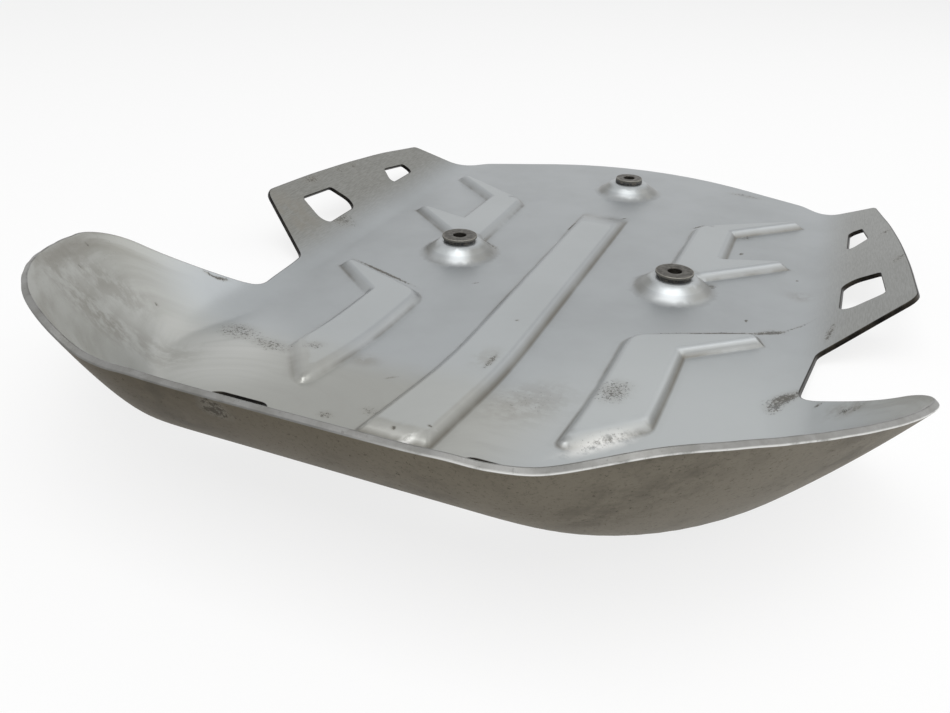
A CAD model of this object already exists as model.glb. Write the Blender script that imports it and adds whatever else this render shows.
"""Looks of a pressed aluminium skid plate with three rubber mounts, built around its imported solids.

Sizes are in millimetres in the maker's frame: X across the bike, -Y to the nose and Z up, with the
origin midway between the front mounts on the floor's upper face. Meshes are written in metres.
"""

import logging
from dataclasses import dataclass, field
from enum import Enum
from functools import reduce
from math import atan, ceil, cos, pi, radians, sin, tan

import bpy
import numpy as np
from mathutils import Matrix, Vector
from mathutils.geometry import delaunay_2d_cdt


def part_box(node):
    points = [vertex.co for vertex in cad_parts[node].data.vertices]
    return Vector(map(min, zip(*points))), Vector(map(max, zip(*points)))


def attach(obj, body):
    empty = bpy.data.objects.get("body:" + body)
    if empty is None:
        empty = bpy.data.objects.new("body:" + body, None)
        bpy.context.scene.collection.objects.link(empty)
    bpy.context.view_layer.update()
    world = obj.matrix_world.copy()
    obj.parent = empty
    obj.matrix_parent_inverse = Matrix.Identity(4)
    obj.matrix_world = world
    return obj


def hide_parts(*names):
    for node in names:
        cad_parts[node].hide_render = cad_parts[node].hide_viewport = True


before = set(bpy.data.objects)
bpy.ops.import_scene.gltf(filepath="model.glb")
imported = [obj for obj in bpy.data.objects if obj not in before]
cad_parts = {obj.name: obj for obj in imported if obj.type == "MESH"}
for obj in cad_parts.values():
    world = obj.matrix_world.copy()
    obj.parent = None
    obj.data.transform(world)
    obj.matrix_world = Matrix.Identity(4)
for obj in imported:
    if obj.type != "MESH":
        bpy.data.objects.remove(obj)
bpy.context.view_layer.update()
LOG = logging.getLogger("skid_plate")
Array = np.ndarray
MM = 0.001
BODY = "root"
# Height of a bush's lower end over the floor's upper face
BUSH_FOOT = 2.58
# Name and flange radius of each mount, in the order of the cones
MOUNTS = (("front_left", 9.0), ("front_right", 9.0), ("rear", 8.0))
# Up for the lamps, a little off level so that no lamp looks along it
LAMP_UP = (0.0, 1.0, 0.02)


def eased(d: Array, width: float) -> Array:
    """A ramp max(d, 0) whose corner is a parabola over plus and minus the width.

    Args:
        d: distances past the corner.
        width: half the length of the rounded corner.

    Returns:
        The height of the ramp.
    """
    return np.where(d <= -width, 0.0, np.where(d >= width, d, (d + width) ** 2 / (4 * width)))


def arc_ramp(d: Array, radius: float, slope: float) -> Array:
    """Height of a bend: r - sqrt(r^2 - d^2) on the arc from d = 0, then straight on at the slope.

    Args:
        d: distances past the start of the bend.
        radius: radius of the bend.
        slope: rise per millimetre after the bend.

    Returns:
        The height at each distance.
    """
    end = radius * sin(atan(slope))
    on_arc = np.clip(d, 0.0, end)
    return radius - np.sqrt(radius ** 2 - on_arc ** 2) + np.maximum(d - end, 0.0) * slope


def smooth(t: Array) -> Array:
    """A smooth step from 0 at t = 0 to 1 at t = 1."""
    t = np.clip(t, 0.0, 1.0)
    return t * t * (3 - 2 * t)


@dataclass(frozen=True)
class Band:
    """A smooth change along one measure: 0 at the start, 1 after the width, which may be negative."""

    start: float
    width: float

    def share(self, value: Array) -> Array:
        """The smooth step at each value."""
        return smooth((value - self.start) / self.width)


def unit(v: Array) -> Array:
    """Each row of v at length one."""
    return v / np.maximum(np.linalg.norm(v, axis=-1, keepdims=True), 1e-12)


def rounded_corners(corners: Array, step: float) -> tuple[Array, Array]:
    """A closed line through corners, each replaced by an arc tangent to its two sides.

    The arc's normal turns evenly from the normal of the side before to that of the side after.

    Args:
        corners: rows of x, y and corner radius, with the material on the left of travel.
        step: longest step along an arc.

    Returns:
        The points, and the unit normals that point away from the material.
    """
    points, normals = [], []
    count = len(corners)
    for i in range(count):
        here, radius = corners[i, :2], corners[i, 2]
        u = unit(corners[i - 1, :2] - here)
        v = unit(corners[(i + 1) % count, :2] - here)
        first = np.array([-u[1], u[0]])
        last = np.array([v[1], -v[0]])
        turn = np.arctan2(first[0] * last[1] - first[1] * last[0], first @ last)
        back = radius * abs(tan(turn / 2))
        steps = max(1, ceil(radius * abs(turn) / step)) + 1
        angle = np.linspace(0.0, turn, steps)
        c, s = np.cos(angle), np.sin(angle)
        n = np.stack([c * first[0] - s * first[1], s * first[0] + c * first[1]], axis=1)
        centre = here + u * back - np.sign(turn) * radius * first
        points.append(centre + np.sign(turn) * radius * n)
        normals.append(n)
    return np.concatenate(points), np.concatenate(normals)


def evenly(points: Array, step: float) -> Array:
    """A closed line taken again at equal steps along its length."""
    ring = np.vstack([points, points[:1]])
    along = np.concatenate([[0.0], np.cumsum(np.linalg.norm(np.diff(ring, axis=0), axis=1))])
    places = np.linspace(0.0, along[-1], max(8, round(along[-1] / step)), endpoint=False)
    return np.stack([np.interp(places, along, ring[:, k]) for k in range(2)], axis=1)


def arc_corners(start: Array, middle: Array, stop: Array, count: int) -> Array:
    """Corners between the ends of a circle's arc through three points, with radii that round them.

    Args:
        start: first end of the arc.
        middle: a point on the arc.
        stop: last end of the arc.
        count: number of equal chords.

    Returns:
        Rows of x, y and radius, without the two ends.
    """
    a, b, c = (np.asarray(p, float) for p in (start, middle, stop))
    rows = 2 * np.array([b - a, c - a])
    centre = np.linalg.solve(rows, np.array([b @ b - a @ a, c @ c - a @ a]))
    angles = np.unwrap([np.arctan2(*(p - centre)[::-1]) for p in (a, b, c)])
    at = np.linspace(angles[0], angles[2], count + 1)[1:-1]
    radius = np.linalg.norm(a - centre)
    ring = centre + radius * np.stack([np.cos(at), np.sin(at)], axis=1)
    return np.column_stack([ring, np.full(len(ring), 0.55 * radius)])


def mirrored(corners: Array) -> Array:
    """The same corners on the left-hand side, in the same sense of travel."""
    return corners[::-1] * np.array([-1.0, 1.0, 1.0])


def inside(points: Array, loops: list[Array]) -> Array:
    """Even-odd test of plan points against closed loops: a ray along +X crosses an odd number of sides.

    Args:
        points: plan points.
        loops: the outline and the holes.

    Returns:
        True for each point in the material.
    """
    a = np.concatenate(loops)
    b = np.concatenate([np.roll(loop, -1, axis=0) for loop in loops])
    run = (b[:, 0] - a[:, 0]) / np.where(b[:, 1] == a[:, 1], 1e-12, b[:, 1] - a[:, 1])
    parts = []
    for lot in np.array_split(points, max(1, len(points) // 2000)):
        x, y = lot[:, :1], lot[:, 1:]
        crossed = (a[:, 1] > y) != (b[:, 1] > y)
        parts.append((crossed & (x < a[:, 0] + (y - a[:, 1]) * run)).sum(axis=1) % 2 == 1)
    return np.concatenate(parts)


def nearest(points: Array, others: Array) -> Array:
    """Distance from each plan point to the nearest of the others."""
    lots = np.array_split(points, max(1, len(points) // 2000))
    return np.concatenate([
        np.sqrt((((lot[:, None, :] - others[None]) ** 2).sum(axis=2)).min(axis=1)) for lot in lots])


@dataclass(frozen=True)
class Datum:
    """Where the maker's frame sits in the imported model, in millimetres."""

    y: float
    z: float

    @classmethod
    def from_mounts(cls) -> "Datum":
        """The datum read from the place of a front bush."""
        low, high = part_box("bush_front_left")
        return cls(y=(low.y + high.y) / 2 / MM, z=low.z / MM - BUSH_FOOT)

    def place(self, points: Array) -> Array:
        """Points of the maker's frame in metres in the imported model."""
        return (points + np.array([0.0, self.y, self.z])) * MM


def make_piece(name: str, points: Array, faces: list[Array], normals: Array,
               values: dict[str, Array]) -> bpy.types.Object:
    """A smooth mesh object from whole arrays.

    Args:
        name: name of the piece.
        points: vertex positions in metres.
        faces: index arrays, one for each number of corners.
        normals: a unit normal for each vertex.
        values: attributes with a number for each vertex.

    Returns:
        The object, at the origin and riding on the plate's body.
    """
    mesh = bpy.data.meshes.new(name)
    corner = np.concatenate([f.ravel() for f in faces]).astype(np.int32)
    sides = np.concatenate([np.full(len(f), f.shape[1], np.int32) for f in faces])
    start = np.concatenate([[0], np.cumsum(sides)[:-1]]).astype(np.int32)
    mesh.vertices.add(len(points))
    mesh.vertices.foreach_set("co", points.astype(np.float32).ravel())
    mesh.loops.add(len(corner))
    mesh.loops.foreach_set("vertex_index", corner)
    mesh.polygons.add(len(sides))
    mesh.polygons.foreach_set("loop_start", start)
    mesh.polygons.foreach_set("use_smooth", np.ones(len(sides), bool))
    mesh.update(calc_edges=True)
    mesh.normals_split_custom_set_from_vertices(normals.astype(np.float32))
    for key, value in values.items():
        attribute = mesh.attributes.new(key, "FLOAT", "POINT")
        attribute.data.foreach_set("value", value.astype(np.float32))
    piece = bpy.data.objects.new(name, mesh)
    bpy.context.scene.collection.objects.link(piece)
    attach(piece, BODY)
    return piece


@dataclass(frozen=True)
class BentSheet:
    """The blank after bending, as a height over the plan: nose, wings and tabs."""

    thickness: float = 2.2
    sweep_y: float = -85.2
    sweep_r: float = 342.4
    nose_angle: float = radians(8.2)
    curl_y: float = -179.7
    curl_r: float = 67.1
    curl_limit: float = radians(80.0)
    wing_x: float = 103.4
    wing_r: float = 26.6
    wing_angle: float = radians(46.9)
    turn_y: float = -132.6
    turn_ease: float = 20.0
    turn_ratio: float = 1.292
    turn_power: float = 1.49
    wing_curl_r: float = 82.6
    blend_power: float = 6.8
    tab_x: float = 118.0
    tab_r: float = 25.0
    tab_angle: float = radians(35.8)
    tab_end_y: float = -45.0
    wing_start_y: float = -92.0

    def nose(self, y: Array) -> Array:
        """A wide arc up from the floor, a straight slope, then an arc that curls up to the rim."""
        rise = arc_ramp(self.sweep_y - y, self.sweep_r, tan(self.nose_angle))
        reach = np.maximum(self.curl_y - y, 0.0)
        s = np.minimum(sin(self.nose_angle) + reach / self.curl_r, sin(self.curl_limit))
        on_arc = (s - sin(self.nose_angle)) * self.curl_r
        level = np.sqrt(1 - s ** 2)
        rise = rise + self.curl_r * (cos(self.nose_angle) - level) - on_arc * tan(self.nose_angle)
        return rise + (reach - on_arc) * (s / level - tan(self.nose_angle))

    def wing(self, x: Array, y: Array) -> Array:
        """A bend and a slope past a fold line that turns inwards as a superellipse, then curls up."""
        n = self.turn_power
        turn = self.turn_ratio * eased(self.turn_y - y, self.turn_ease)
        d = (np.abs(x) ** n + turn ** n) ** (1 / n) - self.wing_x
        past = np.maximum(d - self.wing_r * sin(self.wing_angle), 0.0)
        return arc_ramp(d, self.wing_r, tan(self.wing_angle)) + past ** 2 / (2 * self.wing_curl_r)

    def tab(self, x: Array) -> Array:
        """A plain fold along Y."""
        start = self.tab_x - self.tab_r * tan(self.tab_angle / 2)
        return arc_ramp(np.abs(x) - start, self.tab_r, tan(self.tab_angle))

    def ripple(self, x: Array, y: Array) -> Array:
        """Faint waves left by pressing: a few sine waves under a fifth of a millimetre high."""
        waves = 0.10 * np.sin(x / 17.0 + 0.6) * np.sin(y / 23.0 + 1.1)
        waves = waves + 0.07 * np.sin(x / 9.0 + y / 14.0) + 0.05 * np.sin(x / 7.0 - y / 8.0 + 2.0)
        return waves * np.clip((np.abs(x) - 70.0) / 60.0 + np.clip((-y - 120.0) / 60.0, 0, 1), 0.0, 1.0)

    def height(self, x: Array, y: Array) -> Array:
        """Power blend of nose and wing, passing to the tab's fold by a smooth step along Y."""
        w = smooth((self.tab_end_y - y) / (self.tab_end_y - self.wing_start_y))
        p = self.blend_power
        pan = (np.maximum(self.nose(y), 0.0) ** p + np.maximum(self.wing(x, y), 0.0) ** p) ** (1 / p)
        return w * pan + (1 - w) * self.tab(x) + self.ripple(x, y)

    def point(self, plan: Array) -> Array:
        """Points of the upper face over plan points."""
        return np.column_stack([plan, self.height(plan[:, 0], plan[:, 1])])

    def normal(self, plan: Array) -> Array:
        """Upward unit normals from central differences of the height."""
        x, y, h = plan[:, 0], plan[:, 1], 0.05
        dx = (self.height(x + h, y) - self.height(x - h, y)) / (2 * h)
        dy = (self.height(x, y + h) - self.height(x, y - h)) / (2 * h)
        return unit(np.column_stack([-dx, -dy, np.ones(len(x))]))


@dataclass(frozen=True)
class Rib:
    """A pressing with a convex foot outline and leaning walls."""

    corners: Array
    runs: Array
    hollow: float = 3.5

    def shares(self, plan: Array, inset: float) -> Array:
        """How far in each side's wall a point is: 0 at the foot, 1 at the top edge."""
        along = unit(np.roll(self.corners, -1, axis=0) - self.corners)
        offset = plan[:, None, :] - self.corners[None]
        depth = along[:, 0] * offset[..., 1] - along[:, 1] * offset[..., 0]
        return (depth - inset) / self.runs

    def share(self, plan: Array, inset: float, soft: float) -> Array:
        """The least of the sides' shares, with its creases rounded by a log-sum of exponentials."""
        shares = np.clip(self.shares(plan, inset), -4.0, 8.0)
        if soft <= 0:
            return shares.min(axis=1)
        return -soft * np.log(np.exp(-shares / soft).sum(axis=1))

    def contour(self, share: float, step: float) -> Array:
        """Points along the outline at a given share of the walls, side by side."""
        along = unit(np.roll(self.corners, -1, axis=0) - self.corners)
        across = np.stack([-along[:, 1], along[:, 0]], axis=1)
        level = (across * self.corners).sum(axis=1) + share * self.runs
        rows = np.stack([np.roll(across, 1, axis=0), across], axis=1)
        ends = np.linalg.solve(rows, np.stack([np.roll(level, 1), level], axis=1)[..., None])[..., 0]
        return evenly(ends, step)


@dataclass(frozen=True)
class Pressings:
    """Everything pressed up from the floor: the spine, the front and rear ribs and the cones."""

    height: float = 3.5
    run: float = 2.6
    foot_ease: float = 0.42
    top_ease: float = 0.74
    blend: float = 0.14
    spine_half: float = 13.0
    spine_rear_y: float = 84.0
    spine_front_y: float = -179.0
    spine_rear_run: float = 14.0
    spine_front_run: float = 5.0
    leg_in_x: float = 47.0
    leg_out_x: float = 73.0
    leg_tip_y: float = -162.0
    leg_shoulder_y: float = -128.5
    leg_tip_run: float = 4.5
    heel_y: float = -57.5
    heel_r: float = 12.0
    arm_root_x: float = 62.0
    arm_front_slope: float = 0.836
    arm_front_y: float = -66.5
    arm_end_front_x: float = 101.6
    arm_end_rear: tuple[float, float] = (97.8, -34.6)
    fork_leg: tuple = ((48.5, 12.0), (64.5, 12.0), (73.6, 21.0), (73.8, 86.0), (56.0, 91.5), (50.5, 84.0))
    fork_front_arm: tuple = ((62.0, 9.9), (104.6, 48.4), (99.4, 54.0), (62.0, 41.0))
    fork_rear_arm: tuple = ((62.0, 72.1), (107.0, 114.6), (101.6, 120.6), (56.0, 91.5))
    arm_hollow: float = 2.0
    mounts: tuple = ((-55.3, 0.0), (55.3, 0.0), (0.0, 138.0))
    cone_base_r: float = 19.2
    cone_top_r: float = 10.6
    cone_height: float = 6.5
    cone_ease: float = 0.07
    hole_r: float = 7.2
    flank_side: Band = Band(0.40, 0.45)
    flank_fade: float = 1.5
    flank_share: float = 0.8

    def spine(self) -> Rib:
        """The long rib down the middle, with sloped ends."""
        x, front, rear = self.spine_half, self.spine_front_y, self.spine_rear_y
        corners = np.array([(-x, front), (x, front), (x, rear), (-x, rear)])
        return Rib(corners, np.array([self.spine_front_run, self.run, self.spine_rear_run, self.run]))

    def right_ribs(self) -> list[Rib]:
        """Leg and arm of the front rib, then leg and two arms of the rear rib."""
        end_x, end_y = self.arm_end_rear
        slope = (end_y - self.heel_y) / (end_x - self.leg_in_x)
        rear_out = self.heel_y + slope * (self.leg_out_x - self.leg_in_x)
        leg = np.array([(self.leg_in_x, self.leg_tip_y, 3.0), (self.leg_out_x, self.leg_shoulder_y, 2.0),
                        (self.leg_out_x, rear_out, 0.0), (self.leg_in_x, self.heel_y, self.heel_r)])
        foot, _ = rounded_corners(leg, 2.5)
        foot = foot[np.linalg.norm(np.roll(foot, -1, axis=0) - foot, axis=1) > 1e-6]
        runs = np.full(len(foot), self.run)
        along = unit(np.roll(foot, -1, axis=0) - foot)
        tip = unit(leg[1, :2] - leg[0, :2])
        runs[(along @ tip) > 0.98] = self.leg_tip_run
        root_front = self.arm_front_y + self.arm_front_slope * (self.arm_root_x - self.leg_out_x)
        end_front = self.arm_front_y + self.arm_front_slope * (self.arm_end_front_x - self.leg_out_x)
        arm = np.array([(self.arm_root_x, root_front), (self.arm_end_front_x, end_front), (end_x, end_y),
                        (self.arm_root_x, self.heel_y + slope * (self.arm_root_x - self.leg_in_x))])
        ribs = [Rib(foot, runs), Rib(arm, np.full(4, self.run), self.arm_hollow)]
        for corners, hollow in ((self.fork_leg, self.height), (self.fork_front_arm, self.arm_hollow),
                                (self.fork_rear_arm, self.arm_hollow)):
            corners = np.array(corners)
            ribs.append(Rib(corners, np.full(len(corners), self.run), hollow))
        return ribs

    def shares(self, plan: Array, inset: float, soft: float) -> Array:
        """Shares of every rib at plan points, the side ribs read on the right by the size of x."""
        folded = np.column_stack([np.abs(plan[:, 0]), plan[:, 1]])
        rows = [self.spine().share(plan, inset, soft)]
        rows += [rib.share(folded, inset, soft) for rib in self.right_ribs()]
        return np.stack(rows)

    def wall(self, share: Array, top: float) -> Array:
        """Height of a wall: a straight lean from share 0 to share top with both corners rounded."""
        return self.height * (eased(share, self.foot_ease) - eased(share - top, self.top_ease * top))

    def cone_distance(self, plan: Array) -> Array:
        """Distance to the axis of the nearest mount."""
        return nearest(plan, np.array(self.mounts))

    def cone(self, plan: Array, inset: float) -> Array:
        """Height of the cones: a straight lean between two radii with both corners rounded."""
        fall = self.cone_base_r - self.cone_top_r
        t = (self.cone_base_r - inset - self.cone_distance(plan)) / fall
        return self.cone_height * (eased(t, self.cone_ease) - eased(t - 1.0, self.cone_ease))

    def flank(self, plan: Array) -> Array:
        """A mask of the cones' walls that is strongest at their left and right flanks."""
        offset = plan[:, None, :] - np.array(self.mounts)[None]
        near = np.linalg.norm(offset, axis=2).argmin(axis=1)
        side = np.abs(offset[np.arange(len(plan)), near, 0])
        r = np.maximum(self.cone_distance(plan), 1e-6)
        wall = smooth((self.cone_base_r - r) / self.flank_fade)
        wall = wall * smooth((r - self.cone_top_r) / self.flank_fade)
        return self.flank_share * self.flank_side.share(side / r) * wall

    def union(self, plan: Array, inset: float) -> Array:
        """The greatest of the ribs' shares, with the valleys between them rounded."""
        shares = self.shares(plan, inset, self.blend)
        return self.blend * np.log(np.exp(np.clip(shares, -4.0, 4.0) / self.blend).sum(axis=0))

    def upper(self, plan: Array) -> Array:
        """Rise of the upper face over the plain sheet."""
        ribs = self.wall(self.union(plan, 0.0), 1.0)
        return (np.maximum(ribs, 0.0) ** 6 + np.maximum(self.cone(plan, 0.0), 0.0) ** 6) ** (1 / 6)

    def lower(self, plan: Array, thickness: float) -> Array:
        """Rise of the lower face: the same pressings, narrower by the thickness round the bend."""
        inset = thickness * tan(atan(self.height / self.run) / 2)
        shares = self.shares(plan, inset, self.blend)
        tops = np.array([self.height] + [rib.hollow for rib in self.right_ribs()]) / self.height
        rises = np.stack([self.wall(s, top) for s, top in zip(shares, tops)]).max(axis=0)
        fall = self.cone_base_r - self.cone_top_r
        cones = self.cone(plan, thickness * tan(atan(self.cone_height / fall) / 2))
        return (np.maximum(rises, 0.0) ** 6 + np.maximum(cones, 0.0) ** 6) ** (1 / 6)

    def feature_lines(self, step: float) -> Array:
        """Plan points along the feet, walls and top edges of the ribs and round the cones."""
        lots = []
        for share in (-0.45, 0.0, 0.5, 1.0, 1.75):
            lines = [self.spine().contour(share, step)]
            for rib in self.right_ribs():
                line = rib.contour(share, step)
                lines += [line, line * np.array([-1.0, 1.0])]
            line = np.concatenate(lines)
            lots.append(line[np.abs(self.shares(line, 0.0, 0.0).max(axis=0) - share) < 0.03])
        for radius in (self.cone_base_r, self.cone_top_r, (self.cone_base_r + self.cone_top_r) / 2):
            turn = np.linspace(0.0, 2 * pi, round(2 * pi * radius / step), endpoint=False)
            ring = radius * np.stack([np.cos(turn), np.sin(turn)], axis=1)
            lots += [ring + np.array(place) for place in self.mounts]
        return np.concatenate(lots)


@dataclass(frozen=True)
class PlateOutline:
    """Plan outline of the plate and the holes in it."""

    rim_y: float = -233.4
    rim_end_x: float = 32.4
    rim_bow: tuple = (61.5, -231.6)
    rim_side: tuple = (83.2, -226.0, 60.0)
    wing_mid: tuple = (122.6, -191.1)
    wing_tip: tuple = (152.7, -139.5, 30.0)
    notch_front: tuple = (117.1, -84.5, 14.0)
    notch_rear: tuple = (122.0, -45.2, 6.0)
    tab_front: tuple = (154.4, -24.9, 8.0)
    tab_mid: tuple = (149.6, 54.0)
    tab_rear: tuple = (141.0, 120.5, 8.0)
    tail_corner: tuple = (104.0, 158.5, 15.0)
    tail_arc: tuple = (61.0, 178.9, 60.0)
    tail_y: float = 191.7
    big_window: tuple = ((128.3, -11.6, 5.0), (144.1, -7.7, 2.0), (142.5, 17.8, 2.0), (128.8, 23.2, 5.0))
    small_window: tuple = ((129.7, 66.0, 2.0), (137.9, 72.0, 1.5), (135.3, 91.7, 1.5), (129.9, 93.3, 2.0))
    slot_size: tuple = (24.0, 9.0)
    slots: tuple = ((36.0, -180.0), (-59.0, -180.5))

    def rim(self) -> Array:
        """Corners of the whole outline, anticlockwise."""
        bend = np.array([self.rim_end_x, self.rim_y, self.rim_side[2]])
        side, tip, front, rear = (
            np.array(c) for c in (self.rim_side, self.wing_tip, self.tab_front, self.tab_rear))
        right = np.vstack([
            bend, arc_corners(bend[:2], self.rim_bow, side[:2], 4), side,
            arc_corners(side[:2], self.wing_mid, tip[:2], 8)[:-1], tip, self.notch_front,
            self.notch_rear, front, arc_corners(front[:2], self.tab_mid, rear[:2], 4), rear,
            self.tail_corner, self.tail_arc])
        end = np.array(self.tail_arc[:2])
        tail = arc_corners(end, (0.0, self.tail_y), end * np.array([-1.0, 1.0]), 8)
        return np.vstack([right, tail, mirrored(right)])

    def slot(self, place: tuple[float, float]) -> Array:
        """Corners of one drain slot with half-round ends."""
        half = np.array(self.slot_size) / 2
        signs = np.array([(-1, -1), (1, -1), (1, 1), (-1, 1)])
        return np.column_stack([signs * half + np.array(place), np.full(4, half[1] - 0.01)])

    def loops(self, step: float, pressings: Pressings) -> list[Array]:
        """The outline anticlockwise and every hole clockwise, as points at even steps."""
        loops = [evenly(rounded_corners(self.rim(), 0.4)[0], step)]
        for window in (self.big_window, self.small_window):
            corners = np.array(window)
            for side in (corners, mirrored(corners)):
                loops.append(evenly(rounded_corners(side, 0.3)[0], 0.8 * step)[::-1])
        for place in self.slots:
            loops.append(evenly(rounded_corners(self.slot(place), 0.3)[0], 0.8 * step)[::-1])
        turn = np.linspace(0.0, -2 * pi, 56, endpoint=False)
        ring = pressings.hole_r * np.stack([np.cos(turn), np.sin(turn)], axis=1)
        loops += [ring + np.array(place) for place in pressings.mounts]
        return loops


class Stain(Enum):
    """What a mark on the plate does to its finish."""

    GRIME = "grime"
    WORN = "worn"
    SMEAR = "smear"
    CLEAN = "clean"


@dataclass(frozen=True)
class Mark:
    """A soft oval mark on a face: centre, half length, half width, turn in degrees and strength."""

    stain: Stain
    x: float
    y: float
    length: float
    width: float
    turn: float = 0.0
    strength: float = 1.0
    below: bool = False

    def cover(self, plan: Array) -> Array:
        """Strength of the mark, falling off as a bell curve in its own turned axes."""
        c, s = cos(radians(self.turn)), sin(radians(self.turn))
        dx, dy = plan[:, 0] - self.x, plan[:, 1] - self.y
        u, v = (c * dx + s * dy) / self.length, (c * dy - s * dx) / self.width
        return self.strength * np.exp(-(u ** 2 + v ** 2) ** 1.5)

    def lattice(self, step: float) -> Array:
        """Plan points at even steps in a box round the mark, in its own turned axes."""
        half = np.array([1.25 * self.length + step, 1.7 * self.width + step])
        u, v = np.meshgrid(*(np.arange(-h, h + step / 2, step) for h in half))
        c, s = cos(radians(self.turn)), sin(radians(self.turn))
        return np.column_stack([
            (self.x + c * u - s * v).ravel(), (self.y + s * u + c * v).ravel()])


GRIME, WORN, SMEAR, CLEAN = Stain
MARKS = (
    Mark(GRIME, -100.5, -125.2, 9.4, 7.0, -14.0, 0.50),
    Mark(GRIME, -80.2, -130.8, 10.8, 5.0, -12.0, 0.45),
    Mark(GRIME, -127.0, 1.1, 8.9, 5.0, 55.0, 0.45),
    Mark(SMEAR, -140.4, -25.0, 13.2, 16.0, -14.0, 0.90),
    Mark(GRIME, -68.1, 2.1, 6.9, 2.5, 72.0, 0.55),
    Mark(GRIME, -44.4, 15.0, 6.9, 1.6, -45.0, 0.75),
    Mark(GRIME, -32.2, -33.4, 1.8, 0.5, 44.0, 0.70),
    Mark(GRIME, -23.8, -134.1, 2.7, 0.7, 52.0, 0.70),
    Mark(GRIME, -12.0, -96.3, 1.5, 0.8, 98.0, 0.80),
    Mark(GRIME, 2.2, -69.0, 1.0, 0.7, 51.0, 0.70),
    Mark(SMEAR, 2.7, -106.0, 9.6, 5.0, 83.0, 0.80),
    Mark(GRIME, 5.8, -108.2, 6.9, 1.3, 90.0, 0.60),
    Mark(GRIME, 27.9, -126.2, 16.2, 13.0, 80.0, 0.13),
    Mark(SMEAR, 29.0, -128.0, 22.0, 12.0, 70.0, 0.45),
    Mark(CLEAN, 80.0, -128.0, 78.0, 62.0, 60.0, 0.85),
    Mark(CLEAN, -106.0, -152.0, 48.0, 34.0, 20.0, 1.00),
    Mark(GRIME, -27.6, -173.2, 2.4, 3.0, 59.0, 0.50),
    Mark(GRIME, -16.6, -163.2, 2.8, 3.5, 71.0, 0.42),
    Mark(GRIME, -1.4, -174.6, 0.8, 1.0, 56.0, 0.90),
    Mark(GRIME, 8.8, -169.0, 0.7, 0.9, 67.0, 0.90),
    Mark(GRIME, -61.0, -128.8, 4.3, 4.0, 78.0, 0.38),
    Mark(SMEAR, -40.3, -125.2, 5.1, 6.0, 73.0, 0.60),
    Mark(GRIME, -13.4, 61.3, 7.4, 0.7, 87.0, 1.00),
    Mark(GRIME, 10.2, 87.8, 2.4, 0.7, 58.0, 0.90),
    Mark(GRIME, 51.9, 92.1, 5.1, 0.6, 59.0, 0.80),
    Mark(GRIME, 79.9, 85.9, 3.9, 1.8, 48.0, 0.60),
    Mark(GRIME, 79.7, 60.6, 1.8, 0.9, 77.0, 0.80),
    Mark(GRIME, 109.3, 35.9, 0.9, 0.7, 63.0, 0.80),
    Mark(GRIME, 91.9, -20.1, 1.4, 0.7, 84.0, 0.90),
    Mark(GRIME, 72.1, 10.6, 4.1, 1.8, 83.0, 0.65),
    Mark(GRIME, 80.0, -39.7, 22.7, 1.2, 25.0, 1.00),
    Mark(GRIME, 103.2, -27.6, 6.0, 1.6, 32.0, 0.80),
    Mark(GRIME, 113.4, -17.8, 8.1, 0.7, 50.0, 0.50),
    Mark(GRIME, 113.2, -85.2, 7.4, 3.6, 42.0, 0.86),
    Mark(GRIME, 110.6, -92.6, 3.4, 2.5, 60.0, 0.56),
    Mark(WORN, 111.2, -93.1, 1.3, 1.0, 56.0, 0.90),
    Mark(GRIME, 131.7, -113.7, 4.1, 1.5, -35.0, 0.60),
    Mark(GRIME, 123.8, -98.2, 1.0, 1.2, -32.0, 0.65),
    Mark(SMEAR, 131.5, -111.6, 7.8, 4.0, -47.0, 0.70),
    Mark(SMEAR, 112.0, 16.2, 4.9, 6.0, 62.0, 0.50),
    Mark(GRIME, 149.6, 26.6, 4.4, 2.5, 75.0, 0.45),
    Mark(GRIME, 145.1, 70.8, 2.7, 1.8, 73.0, 0.50),
    Mark(GRIME, 125.8, -28.2, 7.9, 1.3, 82.0, 0.55),
    Mark(GRIME, 55.4, -110.9, 10.0, 6.0, 85.0, 0.50),
    Mark(WORN, 60.0, -147.4, 15.0, 3.0, 56.0, 0.80),
    Mark(GRIME, 59.5, -145.5, 13.9, 2.6, 58.0, 0.27),
    Mark(GRIME, 69.1, 163.4, 9.6, 3.0, -12.0, 0.42),
    Mark(GRIME, -77.7, -40.7, 19.0, 1.0, -22.0, 1.00),
    Mark(GRIME, -38.6, -179.9, 1.0, 1.2, 33.0, 0.80),
    Mark(GRIME, -128.7, -105.2, 2.4, 0.6, 43.0, 0.75),
    Mark(GRIME, -125.8, -101.3, 3.3, 0.7, 64.0, 0.80),
    Mark(SMEAR, -115.2, -183.6, 11.2, 14.0, 67.0, 0.70),
    Mark(SMEAR, -107.5, -165.2, 16.8, 12.0, 52.0, 0.55),
    Mark(SMEAR, -130.5, -157.6, 16.0, 8.0, 82.0, 0.60),
    Mark(GRIME, -143.5, -152.4, 0.8, 0.6, 115.0, 0.80),
    Mark(GRIME, -132.6, -166.6, 0.8, 0.6, 122.0, 0.70),
    Mark(GRIME, -126.7, -140.1, 0.7, 0.6, 110.0, 0.70),
    Mark(GRIME, -150.1, 11.0, 7.0, 1.6, 88.0, 0.62),
    Mark(GRIME, -148.3, 37.6, 3.2, 1.5, 86.0, 0.58),
    Mark(GRIME, -147.0, 50.1, 3.0, 1.5, 85.0, 0.52),
    Mark(WORN, 4.9, -178.3, 3.9, 1.6, 64.0, 0.70),
    Mark(GRIME, -18.5, -232.0, 4.2, 1.5, 0.0, 0.85, True),
)


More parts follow.
